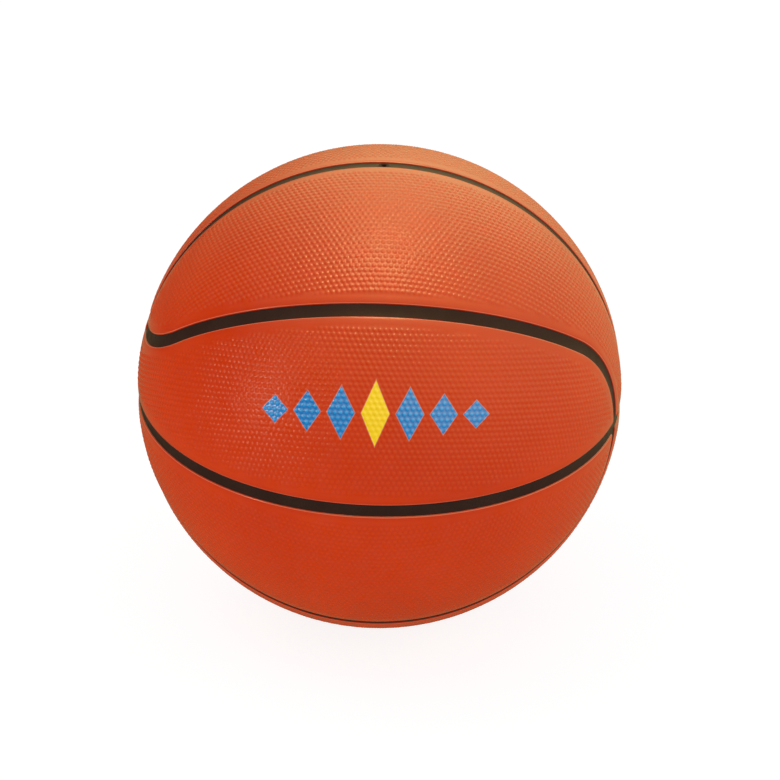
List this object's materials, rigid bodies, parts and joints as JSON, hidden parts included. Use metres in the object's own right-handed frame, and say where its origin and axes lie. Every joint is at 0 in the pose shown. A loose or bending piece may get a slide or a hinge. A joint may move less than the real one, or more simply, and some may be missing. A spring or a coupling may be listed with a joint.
{
  "type": "basketball",
  "caption": "Inflatable rubber ball with a pebbled orange cover in panels, black recessed seams and a needle valve at the top.",
  "frame": {"origin": "centre of the ball", "axes": "+Z out through the valve, X through the two junctions where the straight seams cross, -Y towards the viewer of the picture"},
  "size_m": [0.2388, 0.2388, 0.2388],
  "materials": {
    "cover_rubber": "pebbled, satin",
    "channel_rubber": "smooth, satin",
    "carcass_rubber": "matt",
    "yarn": "wound yarn in rubber",
    "bladder_rubber": "smooth",
    "valve_rubber": "smooth, satin"
  },
  "bodies": {
    "root": {"panel_front_upper": "cover_rubber", "panel_front_lower": "cover_rubber", "panel_back_upper": "cover_rubber", "panel_back_lower": "cover_rubber", "panel_top_front": "cover_rubber", "panel_top_back": "cover_rubber", "panel_bottom_front": "cover_rubber", "panel_bottom_back": "cover_rubber", "strip_level": "channel_rubber", "strip_upright_top": "channel_rubber", "strip_upright_bottom": "channel_rubber", "strip_curve_front_upper": "channel_rubber", "strip_curve_front_lower": "channel_rubber", "strip_curve_back_upper": "channel_rubber", "strip_curve_back_lower": "channel_rubber", "carcass": "carcass_rubber", "winding": "yarn", "bladder": "bladder_rubber", "valve_housing": "valve_rubber", "valve_core": "valve_rubber"}
  },
  "joints": []
}
